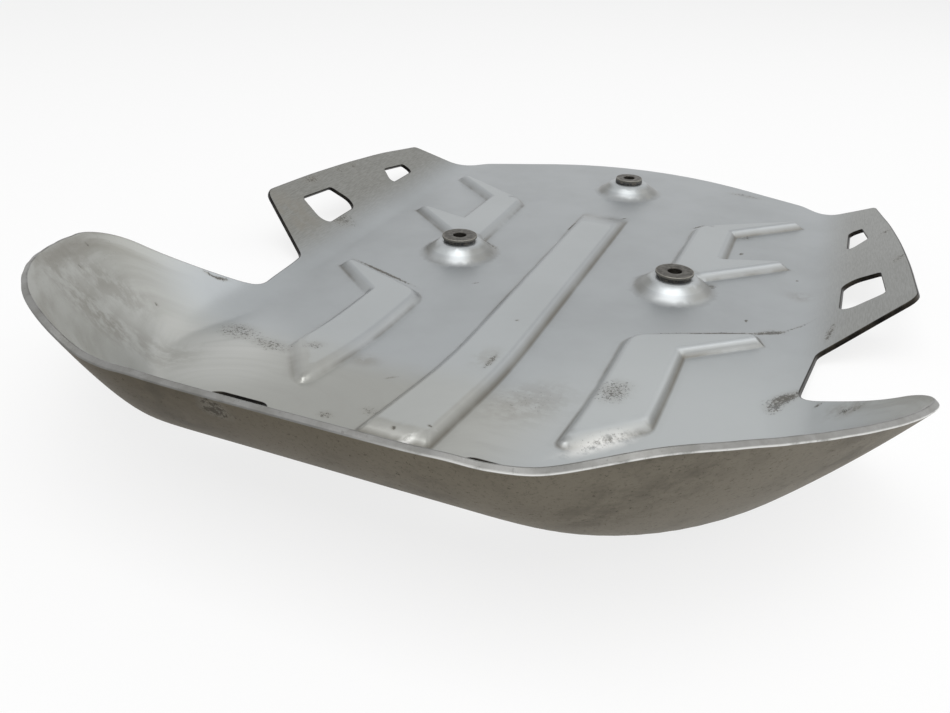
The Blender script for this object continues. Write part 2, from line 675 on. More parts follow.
@dataclass(frozen=True)
class PlateZones:
    """Where the finish changes: along X and Y, up the sheet's rise and across a rib's wall."""

    rim_y: Band = Band(-84.0, -10.0)
    tab_x: Band = Band(114.0, 20.0)
    tab_y: Band = Band(-62.0, 24.0)
    tab_right: float = 0.8
    bowl_rise: Band = Band(10.0, 30.0)
    bowl_y: Band = Band(-60.0, -40.0)
    film_x: Band = Band(52.0, -32.0)
    film_y: Band = Band(-112.0, -30.0)
    shade_lean: Band = Band(0.2, 0.35)
    shade_x: Band = Band(-28.0, 20.0)
    wall_top: Band = Band(2.0, -1.5)
    wall_foot: Band = Band(-1.2, 1.2)
    cone_clear: float = 1.0
    foot_width: float = 0.8
    cone_foot_width: float = 0.9
    cone_foot_share: float = 0.45
    round_y: float = -100.0
    round_r: float = 100.0


@dataclass
class PressedPlate:
    """The whole plate as one closed sheet: upper face, lower face and rounded cut edges."""

    datum: Datum
    sheet: BentSheet = field(default_factory=BentSheet)
    pressings: Pressings = field(default_factory=Pressings)
    outline: PlateOutline = field(default_factory=PlateOutline)
    zones: PlateZones = field(default_factory=PlateZones)
    pitch: float = 2.0
    line_step: float = 1.6
    line_gap: float = 1.2
    line_cell: float = 0.66
    row_ratio: float = 0.866
    lattice_gap: float = 1.24
    lattice_clear: float = 1.1
    edge_step: float = 1.5
    edge_r: float = 0.55
    edge_turns: int = 3
    narrow: float = 1.35
    fine_step: float = 0.5
    fine_cell: float = 0.35
    fine_clear: float = 0.4

    def conormal(self, loop: Array) -> tuple[Array, Array]:
        """Directions at a cut edge.

        Args:
            loop: plan points of the edge, with the material on the left.

        Returns:
            The unit vector in the sheet that points off the edge, and the sheet's normal.
        """
        points = self.sheet.point(loop)
        along = unit(np.roll(points, -1, axis=0) - np.roll(points, 1, axis=0))
        normal = self.sheet.normal(loop)
        return unit(np.cross(along, normal)), normal

    def net(self, loops: list[Array]) -> tuple[Array, Array]:
        """A triangle net over the plan: edge loops, feature lines and a staggered lattice between them.

        Args:
            loops: the edge loops, which come first in the points.

        Returns:
            Plan points and triangles, anticlockwise from above.
        """
        edge = np.concatenate(loops)
        lines = self.pressings.feature_lines(self.line_step)
        lines = lines[nearest(lines, edge) > self.line_gap]
        lines = self.thinned(lines, self.line_cell)
        fine = np.concatenate([mark.lattice(self.fine_step) for mark in MARKS if mark.width < self.narrow])
        fine = fine[inside(fine, loops) & (nearest(fine, edge) > self.fine_step)]
        fine = self.thinned(fine, self.fine_cell)
        lines = np.concatenate([fine, lines[self.clear_of(lines, fine, self.fine_clear)]])
        low, high = edge.min(axis=0), edge.max(axis=0)
        xs = np.arange(low[0], high[0], self.pitch)
        ys = np.arange(low[1], high[1], self.pitch * self.row_ratio)
        grid_x, grid_y = np.meshgrid(xs, ys)
        grid_x = grid_x + (np.arange(len(ys)) % 2)[:, None] * self.pitch / 2
        lattice = np.column_stack([grid_x.ravel(), grid_y.ravel()])
        lattice = lattice[inside(lattice, loops)]
        lattice = lattice[nearest(lattice, edge) > self.lattice_gap]
        lattice = lattice[self.clear_of(lattice, lines, self.lattice_clear)]
        points = np.concatenate([edge, lines, lattice])
        starts = np.cumsum([0] + [len(loop) for loop in loops])
        sides = [np.column_stack([np.arange(a, b), np.roll(np.arange(a, b), -1)])
                 for a, b in zip(starts[:-1], starts[1:])]
        made = delaunay_2d_cdt(points.tolist(), np.concatenate(sides).tolist(), [], 0, 1e-6)
        plan, triangles = np.array(made[0]), np.array(made[2])
        a, b, c = (plan[triangles[:, k]] for k in range(3))
        triangles = triangles[inside((a + b + c) / 3, loops)]
        a, b, c = (plan[triangles[:, k]] for k in range(3))
        area = (b - a)[:, 0] * (c - a)[:, 1] - (b - a)[:, 1] * (c - a)[:, 0]
        triangles[area < 0] = triangles[area < 0][:, ::-1]
        return plan, triangles

    @staticmethod
    def thinned(points: Array, cell: float) -> Array:
        """The first of the points in each square cell of a raster."""
        keys = np.round(points / cell).astype(int)
        return points[np.sort(np.unique(keys, axis=0, return_index=True)[1])]

    @staticmethod
    def clear_of(points: Array, others: Array, gap: float) -> Array:
        """True for points with none of the others in the cells of a raster around them."""
        low = np.minimum(points.min(axis=0), others.min(axis=0)) - 4 * gap
        cell = gap / 2
        spots = np.round((others - low) / cell).astype(int)
        own = np.round((points - low) / cell).astype(int)
        taken = np.zeros(np.maximum(spots.max(axis=0), own.max(axis=0)) + 4, bool)
        for i in range(-2, 3):
            for j in range(-2, 3):
                if i * i + j * j <= 5:
                    taken[spots[:, 0] + i, spots[:, 1] + j] = True
        return ~taken[own[:, 0], own[:, 1]]

    def upper(self, plan: Array) -> Array:
        """Upper face: the bent sheet moved out along its normal by the pressings' rise."""
        return self.sheet.point(plan) + self.sheet.normal(plan) * self.pressings.upper(plan)[:, None]

    def lower(self, plan: Array) -> Array:
        """Lower face: the bent sheet moved in by the thickness, less the pressings' hollow."""
        depth = self.sheet.thickness - self.pressings.lower(plan, self.sheet.thickness)
        return self.sheet.point(plan) - self.sheet.normal(plan) * depth[:, None]

    @staticmethod
    def face_normal(face, plan: Array) -> Array:
        """Upward unit normals of a face given over the plan, by central differences."""
        h = 0.06
        dx = face(plan + np.array([h, 0.0])) - face(plan - np.array([h, 0.0]))
        dy = face(plan + np.array([0.0, h])) - face(plan - np.array([0.0, h]))
        return unit(np.cross(dx, dy))

    def build(self) -> bpy.types.Object:
        """The plate's mesh with its attributes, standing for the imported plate.

        Returns:
            The finished object.
        """
        r, thick = self.edge_r, self.sheet.thickness
        rims = self.outline.loops(self.edge_step, self.pressings)
        sides = [self.conormal(rim) for rim in rims]
        loops = [rim - r * off[:, :2] for rim, (off, _) in zip(rims, sides)]
        plan, triangles = self.net(loops)
        count = len(plan)
        upper, lower = self.upper(plan), self.lower(plan)
        points = [upper, lower]
        normals = [self.face_normal(self.upper, plan), -self.face_normal(self.lower, plan)]
        quads = []
        starts = np.cumsum([0] + [len(loop) for loop in loops])
        angles = np.linspace(0.0, pi / 2, self.edge_turns + 1)[1:]
        turns = np.concatenate([angles, angles[::-1]])
        under = np.arange(len(turns)) >= len(angles)
        base = 2 * count
        for start, (off, normal), loop in zip(starts, sides, loops):
            own = start + np.arange(len(loop))
            rows = [own]
            for angle, low in zip(turns, under):
                origin, sign = (lower[own], -1.0) if low else (upper[own], 1.0)
                inward = sign * r * (cos(angle) - 1.0)
                points.append(origin + off * (r * sin(angle)) + normal * inward)
                normals.append(unit(off * sin(angle) + normal * (sign * cos(angle))))
                rows.append(base + np.arange(len(own)))
                base += len(own)
            rows.append(own + count)
            for a, b in zip(rows[:-1], rows[1:]):
                quads.append(np.column_stack([a, b, np.roll(b, -1), np.roll(a, -1)]))
        spots = self.datum.place(np.concatenate(points))
        low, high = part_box("skid_plate")
        spots = np.clip(spots, np.array(low), np.array(high))
        values = self.values(plan, rims, loops, len(turns))
        faces = [np.concatenate([triangles, triangles[:, ::-1] + count]), np.concatenate(quads)]
        piece = make_piece("pressed_plate", spots, faces, np.concatenate(normals), values)
        LOG.info("plate: %d vertices, %d faces, %.1f mm sheet", len(spots), sum(map(len, faces)), thick)
        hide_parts("skid_plate")
        return piece

    def wall_masks(self, plan: Array) -> tuple[Array, Array]:
        """Dirt at the feet of the pressings, as a bell curve across the foot line, and stain on walls.

        Args:
            plan: plan points of the upper face.

        Returns:
            The mask of the feet, and the mask of right-facing rib walls and of the cones' flanks.
        """
        zones, press = self.zones, self.pressings
        share = press.union(plan, 0.0) * press.run
        cone = press.cone_base_r - press.cone_distance(plan)
        cone_foot = zones.cone_foot_share * np.exp(-(cone / zones.cone_foot_width) ** 2)
        foot = np.maximum(np.exp(-(share / zones.foot_width) ** 2), cone_foot)
        lean = self.face_normal(self.upper, plan)[:, 0]
        wall = zones.wall_top.share(share) * zones.wall_foot.share(share) * (cone < -zones.cone_clear)
        shade = zones.shade_lean.share(lean) * zones.shade_x.share(plan[:, 0]) * wall
        return foot, np.maximum(shade, press.flank(plan))

    def values(self, plan: Array, rims: list[Array], loops: list[Array], rows: int) -> dict[str, Array]:
        """Masks for the finish at every vertex.

        Args:
            plan: plan points of both faces.
            rims: plan points of the cut edges.
            loops: the edge loops of the net.
            rows: number of vertex rows round each cut edge.

        Returns:
            Named numbers: place on the sheet and its edges, rib feet and crowns, and marks.
        """
        zones = self.zones
        ring = np.concatenate([np.tile(loop, (rows, 1)) for loop in loops])
        spots = np.concatenate([plan, plan, ring])
        edge = nearest(plan, np.concatenate(rims))
        foot, shade = self.wall_masks(plan)
        lips = np.linspace(0.0, 1.0, rows + 2)[1:-1]
        outer = np.arange(len(ring)) < rows * len(loops[0])
        side, y = spots[:, 0], spots[:, 1]
        x = np.abs(side)
        rise = self.sheet.height(x, y)
        on, off, none = np.ones(len(plan)), np.zeros(len(plan)), np.zeros(len(ring))
        values = {
            "edge_mm": np.concatenate([edge, edge, none]),
            "under": np.concatenate([off, on, none]),
            "cut": np.concatenate([off, off, none + 1.0]),
            "lip": np.concatenate([off, on] + [np.repeat(lips, len(loop)) for loop in loops]),
            "rim": zones.rim_y.share(y) * np.concatenate([on, on, outer]),
            "tab": zones.tab_x.share(x) * zones.tab_y.share(y) * np.where(side < 0, 1.0, zones.tab_right),
            "bowl": zones.bowl_rise.share(rise) * zones.bowl_y.share(y),
            "film": zones.film_x.share(side) * zones.film_y.share(y),
            "shade": np.concatenate([shade, off, none]),
            "round_mm": zones.round_r * np.arctan2(side, zones.round_y - y),
            "foot": np.concatenate([foot, off, none]),
            "crown": np.concatenate([self.pressings.upper(plan) / self.pressings.height, off, none]),
        }
        for stain in Stain:
            faces = []
            for below in (False, True):
                covers = [mark.cover(plan) for mark in MARKS if mark.stain is stain and mark.below == below]
                faces.append(np.clip(np.sum(covers, axis=0), 0.0, 1.0) if covers else off)
            values[stain.value] = np.concatenate(faces + [none])
        return values


@dataclass
class Mount:
    """One rubber grommet and its flanged steel bush, turned from rounded profiles."""

    name: str
    place: tuple[float, float]
    flange_r: float
    datum: Datum
    turns: int = 96
    cone_height: float = 6.5
    sheet: float = 2.2
    hole_r: float = 7.2
    grommet_flange: float = 1.7
    grommet_top_r: float = 8.2
    grommet_foot_r: float = 9.4
    bush_flange: float = 1.2
    tube_r: float = 4.75
    bore_r: float = 3.4
    gap: float = 0.02

    def turned(self, name: str, corners: list[tuple[float, float, float]]) -> bpy.types.Object:
        """A closed profile of radius and height, with rounded corners, carried round the mount's axis.

        Args:
            name: name of the piece.
            corners: rows of radius, height and corner radius, anticlockwise.

        Returns:
            The object, with the distance from its axis as an attribute.
        """
        profile, lean = rounded_corners(np.array(corners), 0.12)
        turn = np.linspace(0.0, 2 * pi, self.turns, endpoint=False)
        c, s = np.cos(turn)[:, None], np.sin(turn)[:, None]
        r, z = profile[:, 0], profile[:, 1]
        points = np.stack([r * c + self.place[0], r * s + self.place[1], z + 0 * c], axis=2)
        normals = np.stack([lean[:, 0] * c, lean[:, 0] * s, lean[:, 1] + 0 * c], axis=2)
        size = len(profile)
        index = np.arange(self.turns * size).reshape(self.turns, size)
        after, beside = np.roll(index, -1, axis=0), np.roll(index, -1, axis=1)
        quads = np.stack([index, after, np.roll(after, -1, axis=1), beside], axis=2).reshape(-1, 4)
        spots = self.datum.place(points.reshape(-1, 3))
        return make_piece(name, spots, [quads], normals.reshape(-1, 3), {"radius_mm": np.tile(r, self.turns)})

    def build(self) -> tuple[bpy.types.Object, bpy.types.Object]:
        """The grommet and the bush of this mount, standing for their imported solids."""
        neck, bore = self.hole_r - self.gap, self.tube_r + self.gap
        top, foot = self.cone_height + self.gap, self.cone_height - self.sheet - self.gap
        low, high = foot - self.grommet_flange, top + self.grommet_flange
        grommet = self.turned(f"rubber_{self.name}", [
            (bore, low, 0.1), (self.grommet_foot_r, low, 0.6), (self.grommet_foot_r, foot, 0.3),
            (neck, foot, 0.15), (neck, top, 0.15), (self.grommet_top_r, top, 0.3),
            (self.grommet_top_r, high, 0.5), (bore, high, 0.1)])
        seat = high + self.gap
        head = seat + self.bush_flange
        bush = self.turned(f"steel_{self.name}", [
            (self.bore_r, low, 0.25), (self.tube_r, low, 0.2), (self.tube_r, seat, 0.1),
            (self.flange_r, seat, 0.2), (self.flange_r, head, 0.38), (self.bore_r, head, 0.45)])
        for piece, node, slot in ((grommet, "grommet_", "grommet"), (bush, "bush_", "bush")):
            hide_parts(node + self.name)
            LOG.info("mount: %s", piece.name)
        return grommet, bush


Colour = tuple[float, float, float]


class Tree:
    """A node tree with short calls for adding and joining nodes."""

    def __init__(self, tree: bpy.types.NodeTree) -> None:
        """Keeps the tree and starts it empty."""
        self.tree = tree
        tree.nodes.clear()

    def node(self, kind: str, **settings) -> bpy.types.Node:
        """A new node with its properties set."""
        node = self.tree.nodes.new(kind)
        for key, value in settings.items():
            setattr(node, key, value)
        return node

    def put(self, socket: bpy.types.NodeSocket, value) -> None:
        """Joins a socket to another, or sets its own value."""
        if isinstance(value, bpy.types.NodeSocket):
            self.tree.links.new(value, socket)
        elif isinstance(value, tuple) and len(value) == 3 and socket.type == "RGBA":
            socket.default_value = (*value, 1.0)
        else:
            socket.default_value = value

    def math(self, operation: str, *values, clamp: bool = False) -> bpy.types.NodeSocket:
        """A Math node on values or sockets."""
        node = self.node("ShaderNodeMath", operation=operation, use_clamp=clamp)
        for socket, value in zip(node.inputs, values):
            self.put(socket, value)
        return node.outputs[0]

    def times(self, *values) -> bpy.types.NodeSocket:
        """The product of two or more values."""
        return reduce(lambda first, second: self.math("MULTIPLY", first, second), values)

    def plus(self, *values) -> bpy.types.NodeSocket:
        """The sum of two or more values."""
        return reduce(lambda first, second: self.math("ADD", first, second), values)

    def minus(self, first, second) -> bpy.types.NodeSocket:
        """The first value less the second."""
        return self.math("SUBTRACT", first, second)

    def most(self, first, second) -> bpy.types.NodeSocket:
        """The greater of two values."""
        return self.math("MAXIMUM", first, second)

    def step(self, value, low: float, high: float) -> bpy.types.NodeSocket:
        """A smooth step from 0 at low to 1 at high."""
        node = self.node("ShaderNodeMapRange", interpolation_type="SMOOTHSTEP", clamp=True)
        for socket, number in zip(node.inputs, (value, low, high, 0.0, 1.0)):
            self.put(socket, number)
        return node.outputs[0]

    def mix(self, share, first, second) -> bpy.types.NodeSocket:
        """A colour between two colours."""
        node = self.node("ShaderNodeMix", data_type="RGBA")
        self.put(node.inputs[0], share)
        self.put(node.inputs[6], first)
        self.put(node.inputs[7], second)
        return node.outputs[2]

    def layer(self, colour, mask, share: float, tone) -> bpy.types.NodeSocket:
        """A colour with a share of a tone over it where the mask is."""
        return self.mix(self.times(mask, share), colour, tone)

    def noise(self, vector, scale, detail: float = 3.0, rough: float = 0.55) -> bpy.types.NodeSocket:
        """A noise value around a half."""
        node = self.node("ShaderNodeTexNoise")
        for key, value in (("Vector", vector), ("Scale", scale), ("Detail", detail), ("Roughness", rough)):
            self.put(node.inputs[key], value)
        return node.outputs["Fac"]

    def stretched(self, vector, scale: Colour, turn: float = 0.0) -> bpy.types.NodeSocket:
        """Coordinates turned about Z in degrees and scaled along each axis."""
        node = self.node("ShaderNodeMapping")
        self.put(node.inputs["Vector"], vector)
        node.inputs["Rotation"].default_value = (0.0, 0.0, radians(turn))
        node.inputs["Scale"].default_value = scale
        return node.outputs[0]

    def pair(self, first, second) -> bpy.types.NodeSocket:
        """A vector from two values."""
        node = self.node("ShaderNodeCombineXYZ")
        self.put(node.inputs[0], first)
        self.put(node.inputs[1], second)
        return node.outputs[0]

    def node_x(self, vector) -> bpy.types.NodeSocket:
        """The first part of a vector."""
        node = self.node("ShaderNodeSeparateXYZ")
        self.put(node.inputs[0], vector)
        return node.outputs[0]

    def attribute(self, name: str) -> bpy.types.NodeSocket:
        """A vertex attribute of the piece."""
        return self.node("ShaderNodeAttribute", attribute_name=name).outputs["Fac"]

    def bump(self, height, strength: float, distance: float) -> bpy.types.NodeSocket:
        """A normal raised by a height, at a strength and over a distance in metres."""
        node = self.node("ShaderNodeBump")
        node.inputs["Strength"].default_value = strength
        node.inputs["Distance"].default_value = distance
        self.put(node.inputs["Height"], height)
        return node.outputs[0]

    def group(self, tree: bpy.types.NodeTree, **values) -> bpy.types.Node:
        """An instance of a node group with its inputs set by name."""
        node = self.node("ShaderNodeGroup", node_tree=tree)
        for key, value in values.items():
            self.put(node.inputs[key], value)
        return node


def new_material(name: str) -> tuple[bpy.types.Material, Tree, bpy.types.Node]:
    """A material with one Principled shader.

    Args:
        name: name of the material.

    Returns:
        The material, its tree and its shader.
    """
    material = bpy.data.materials.new(name)
    material.use_nodes = True
    tree = Tree(material.node_tree)
    shader = tree.node("ShaderNodeBsdfPrincipled")
    tree.put(tree.node("ShaderNodeOutputMaterial").inputs["Surface"], shader.outputs[0])
    return material, tree, shader


class SurfaceEffects:
    """Node groups that more than one finish uses."""

    def __init__(self) -> None:
        """Builds each group once."""
        self.grime = self.make_grime()
        self.wear = self.make_wear()

    @staticmethod
    def start(name: str, inputs: dict[str, str]) -> tuple[Tree, bpy.types.Node, bpy.types.Node]:
        """An empty group with named inputs and one Mask output."""
        group = bpy.data.node_groups.new(name, "ShaderNodeTree")
        for key, kind in inputs.items():
            group.interface.new_socket(key, in_out="INPUT", socket_type=kind)
        group.interface.new_socket("Mask", in_out="OUTPUT", socket_type="NodeSocketFloat")
        tree = Tree(group)
        return tree, tree.node("NodeGroupInput"), tree.node("NodeGroupOutput")

    def make_grime(self) -> bpy.types.NodeTree:
        """Dirt that breaks up into specks: spread noise, kept where it passes one minus the cover."""
        sockets = {"Vector": "NodeSocketVector", "Cover": "NodeSocketFloat", "Scale": "NodeSocketFloat"}
        tree, given, out = self.start("settled_grime", sockets)
        place, cover, scale = (given.outputs[key] for key in sockets)
        coarse = tree.noise(place, scale, 4.0, 0.62)
        fine = tree.noise(place, tree.times(scale, 4.3), 3.0, 0.6)
        spread = tree.step(tree.plus(tree.times(coarse, 0.6), tree.times(fine, 0.4)), 0.33, 0.67)
        specks = tree.step(tree.minus(tree.plus(cover, spread), 1.0), -0.06, 0.18)
        tree.put(out.inputs["Mask"], tree.times(specks, tree.step(cover, 0.0, 0.1)))
        return tree.tree

    def make_wear(self) -> bpy.types.NodeTree:
        """Wear along an edge: a band whose width wanders with noise."""
        sockets = {"Vector": "NodeSocketVector", "Distance": "NodeSocketFloat",
                   "Width": "NodeSocketFloat", "Scale": "NodeSocketFloat"}
        tree, given, out = self.start("worn_edge", sockets)
        place, distance, width, scale = (given.outputs[key] for key in sockets)
        wander = tree.noise(place, scale, 4.0, 0.6)
        share = tree.math("DIVIDE", distance, tree.times(width, wander, 2.0))
        tree.put(out.inputs["Mask"], tree.minus(1.0, tree.step(share, 0.2, 1.0)))
        return tree.tree


class PlateNoise:
    """Places and noises that the layers of the plate's finish share."""

    def __init__(self, t: Tree) -> None:
        """Makes each noise once, on Object coordinates or on lengths along the sheet."""
        self.place = t.node("ShaderNodeTexCoord").outputs["Object"]
        self.across = t.node_x(self.place)
        self.edge = t.attribute("edge_mm")
        self.cloud = t.noise(self.place, 20.0, 4.0, 0.6)
        self.mottle = t.noise(self.place, 140.0, 5.0, 0.65)
        self.fine = t.noise(self.place, 900.0, 4.0, 0.6)
        self.hatch = t.noise(t.stretched(self.place, (2300.0, 210.0, 1200.0), 38.0), 1.0, 3.0, 0.6)
        self.grain = t.noise(t.stretched(self.place, (2600.0, 90.0, 900.0)), 1.0, 2.0, 0.5)
        self.pits = t.noise(self.place, 1500.0, 2.0, 0.5)
        lengths = t.pair(t.math("DIVIDE", self.edge, 9.0), t.math("DIVIDE", t.attribute("round_mm"), 55.0))
        self.streak = t.noise(lengths, 1.0, 5.0, 0.6)


@dataclass(frozen=True)
class AluminiumFinish:
    """Satin pressed aluminium: streaked in the bowl, brushed on the tabs, brown below, worn at the rim."""

    effects: SurfaceEffects
    bare: Colour = (0.330, 0.347, 0.357)
    cloudy: Colour = (0.304, 0.319, 0.327)
    clean: Colour = (0.430, 0.450, 0.452)
    wall: Colour = (0.240, 0.240, 0.230)
    wall_dark: Colour = (0.125, 0.121, 0.105)
    film_light: Colour = (0.455, 0.456, 0.434)
    film: Colour = (0.290, 0.290, 0.264)
    bowl_light: Colour = (0.375, 0.378, 0.358)
    bowl_dark: Colour = (0.270, 0.268, 0.243)
    tab_light: Colour = (0.222, 0.221, 0.203)
    tab_dark: Colour = (0.160, 0.157, 0.139)
    dull: Colour = (0.205, 0.195, 0.170)
    below_light: Colour = (0.168, 0.149, 0.112)
    below: Colour = (0.078, 0.063, 0.039)
    below_dark: Colour = (0.045, 0.036, 0.021)
    seam: Colour = (0.105, 0.096, 0.078)
    dirt: Colour = (0.034, 0.029, 0.022)
    worn: Colour = (0.80, 0.80, 0.78)
    rim_light: Colour = (0.190, 0.190, 0.184)
    rim_dark: Colour = (0.152, 0.151, 0.143)
    cut_light: Colour = (0.026, 0.023, 0.018)
    cut_dark: Colour = (0.005, 0.0045, 0.004)
    clean_share: float = 0.9
    film_share: float = 0.8
    film_streaks: float = 0.4
    bowl_share: float = 0.9
    bowl_wiped: float = 0.45
    rim_streaks: float = 0.6
    tab_share: float = 0.85
    smear_share: float = 0.75
    wall_share: float = 0.25
    crown_share: float = 0.40
    shade_share: float = 0.75
    seam_share: float = 0.75
    patch_share: float = 0.7
    speck_share: float = 0.35
    stain_share: float = 0.85
    dirt_share: float = 0.66
    fleck_share: float = 0.5
    metal: float = 0.84
    specular: float = 0.2

    def upper_colour(self, t: Tree, n: PlateNoise, dulled) -> bpy.types.NodeSocket:
        """The upper face: bare metal under film, streaks, brushing, smears and the tones of the ribs.

        Args:
            t: the material's tree.
            n: the shared noises.
            dulled: mask of the smears.

        Returns:
            The colour.
        """
        clean, bowl, crown = (t.attribute(name) for name in ("clean", "bowl", "crown"))
        colour = t.mix(t.step(n.cloud, 0.35, 0.7), self.bare, self.cloudy)
        colour = t.layer(colour, clean, self.clean_share, self.clean)
        film = t.mix(clean, self.film, self.film_light)
        film = t.layer(film, t.step(n.streak, 0.42, 0.68), self.film_streaks, self.bowl_dark)
        colour = t.layer(colour, t.attribute("film"), self.film_share, film)
        streaked = t.minus(self.bowl_share, t.times(clean, self.bowl_wiped))
        bowl_tone = t.mix(t.step(n.streak, 0.34, 0.66), self.bowl_light, self.bowl_dark)
        colour = t.mix(t.times(bowl, streaked), colour, bowl_tone)
        near_rim = t.times(t.step(n.edge, 7.0, 2.0), bowl, t.step(n.streak, 0.42, 0.60))
        colour = t.layer(colour, near_rim, self.rim_streaks, self.dull)
        tab_tone = t.mix(t.step(n.hatch, 0.34, 0.66), self.tab_light, self.tab_dark)
        colour = t.layer(colour, t.attribute("tab"), self.tab_share, tab_tone)
        colour = t.layer(colour, dulled, self.smear_share, self.dull)
        slant = t.times(t.step(crown, 0.04, 0.4), t.step(crown, 0.98, 0.6))
        colour = t.layer(colour, slant, self.wall_share, self.wall)
        colour = t.layer(colour, t.step(crown, 0.90, 1.0), self.crown_share, self.clean)
        colour = t.layer(colour, t.attribute("shade"), self.shade_share, self.wall_dark)
        line = t.times(t.attribute("foot"), t.step(n.cloud, 0.30, 0.62))
        return t.layer(colour, line, self.seam_share, self.seam)

    def lower_colour(self, t: Tree, n: PlateNoise) -> bpy.types.NodeSocket:
        """The lower face: brown, lighter to both sides, with dark patches and specks."""
        lit = t.most(t.step(n.across, -0.06, 0.10), t.step(n.across, -0.070, -0.115))
        colour = t.mix(lit, self.below, self.below_light)
        patch = t.times(t.step(n.cloud, 0.42, 0.70), t.step(n.mottle, 0.30, 0.65))
        colour = t.layer(colour, patch, self.patch_share, self.below_dark)
        return t.layer(colour, t.step(n.fine, 0.50, 0.72), self.speck_share, self.below_dark)

    def cut_colour(self, t: Tree, n: PlateNoise) -> bpy.types.NodeSocket:
        """The cut edges: nearly black at the back, grey along the rim with a bright worn lower corner."""
        lip = t.attribute("lip")
        dark = t.mix(t.step(n.mottle, 0.40, 0.65), self.cut_dark, self.cut_light)
        rim = t.mix(t.step(n.mottle, 0.36, 0.66), self.rim_light, self.rim_dark)
        shine = t.times(t.step(lip, 0.60, 0.86), t.step(n.mottle, 0.80, 0.50), t.step(n.across, 0.01, 0.06))
        rim = t.mix(shine, rim, self.worn)
        fleck = t.times(t.step(lip, 0.34, 0.10), t.step(n.mottle, 0.48, 0.58))
        rim = t.layer(rim, fleck, self.fleck_share, self.cut_light)
        return t.mix(t.attribute("rim"), dark, rim)

    def material(self) -> bpy.types.Material:
        """The plate's material: colour, metal share, roughness and grain from masks and noise."""
        material, t, shader = new_material("satin_aluminium")
        n = PlateNoise(t)
        under, bowl, tab, grime = (t.attribute(name) for name in ("under", "bowl", "tab", "grime"))
        dulled = t.times(t.attribute("smear"), t.step(n.mottle, 0.36, 0.60))
        haze = t.plus(0.02, t.times(t.plus(bowl, tab), 0.05), t.times(under, 0.06))
        cover = t.most(grime, haze)
        dirt = t.group(self.effects.grime, Vector=n.place, Cover=cover, Scale=760.0).outputs["Mask"]

        colour = t.mix(under, self.upper_colour(t, n, dulled), self.lower_colour(t, n))
        stained = t.times(grime, t.step(n.mottle, 0.22, 0.60))
        colour = t.layer(colour, stained, self.stain_share, self.dull)
        bright = t.times(t.attribute("worn"), t.step(n.mottle, 0.36, 0.52))
        colour = t.mix(bright, colour, self.worn)
        colour = t.mix(t.attribute("cut"), colour, self.cut_colour(t, n))
        t.put(shader.inputs["Base Color"], t.layer(colour, dirt, self.dirt_share, self.dirt))

        dusty = t.most(dirt, t.times(under, 0.45))
        t.put(shader.inputs["Metallic"], t.minus(self.metal, t.times(dusty, 0.75)))
        rough = t.plus(0.33, t.times(n.cloud, 0.10), t.times(bowl, 0.08), t.times(dulled, 0.10),
                       t.times(under, 0.12), t.times(dirt, 0.35))
        t.put(shader.inputs["Roughness"], t.math("MINIMUM", rough, 1.0))
        shader.inputs["Specular IOR Level"].default_value = self.specular
        relief = t.plus(t.times(n.grain, 0.6), t.times(n.pits, 0.5), t.times(n.hatch, tab, 0.8),
                        t.times(dirt, 1.5))
        t.put(shader.inputs["Normal"], t.bump(relief, 0.35, 0.00008))
        return material


@dataclass(frozen=True)
class SteelFinish:
    """Dull plated steel with a bright worn flange rim and dirt in the bore."""

    effects: SurfaceEffects
    flange_r: float
    plated: Colour = (0.102, 0.097, 0.085)
    tarnish: Colour = (0.052, 0.048, 0.041)
    bright: Colour = (0.20, 0.192, 0.172)
    dirt: Colour = (0.018, 0.015, 0.012)

    def material(self) -> bpy.types.Material:
        """The bush's material, by distance from the flange's rim and from the bore."""
        material, t, shader = new_material("plated_steel")
        place = t.node("ShaderNodeTexCoord").outputs["Object"]
        radius = t.attribute("radius_mm")
        tone = t.noise(place, 420.0, 4.0, 0.6)
        past = t.minus(self.flange_r, radius)
        rim = t.group(self.effects.wear, Vector=place, Distance=past, Width=0.8, Scale=500.0).outputs["Mask"]
        near_bore = t.minus(0.62, t.step(radius, 3.4, 5.4))
        dirt = t.group(self.effects.grime, Vector=place, Cover=near_bore, Scale=900.0).outputs["Mask"]
        colour = t.mix(t.step(tone, 0.38, 0.62), self.plated, self.tarnish)
        colour = t.layer(colour, rim, 0.8, self.bright)
        t.put(shader.inputs["Base Color"], t.mix(dirt, colour, self.dirt))
        t.put(shader.inputs["Metallic"], t.minus(1.0, t.times(dirt, 0.9)))
        t.put(shader.inputs["Roughness"], t.plus(0.30, t.times(tone, 0.25)))
        t.put(shader.inputs["Normal"], t.bump(t.noise(place, 1800.0, 3.0, 0.6), 0.3, 0.00005))
        return material


@dataclass(frozen=True)
class RubberFinish:
    """Matt black rubber with a little dust."""

    effects: SurfaceEffects
    black: Colour = (0.016, 0.016, 0.016)
    dust: Colour = (0.16, 0.145, 0.12)

    def material(self) -> bpy.types.Material:
        """The grommet's material."""
        material, t, shader = new_material("matt_rubber")
        place = t.node("ShaderNodeTexCoord").outputs["Object"]
        dusty = t.group(self.effects.grime, Vector=place, Cover=0.42, Scale=520.0).outputs["Mask"]
        t.put(shader.inputs["Base Color"], t.layer(self.black, dusty, 0.6, self.dust))
        t.put(shader.inputs["Roughness"], t.plus(0.52, t.times(dusty, 0.3)))
        t.put(shader.inputs["Normal"], t.bump(t.noise(place, 1400.0, 3.0, 0.6), 0.25, 0.0001))
        return material


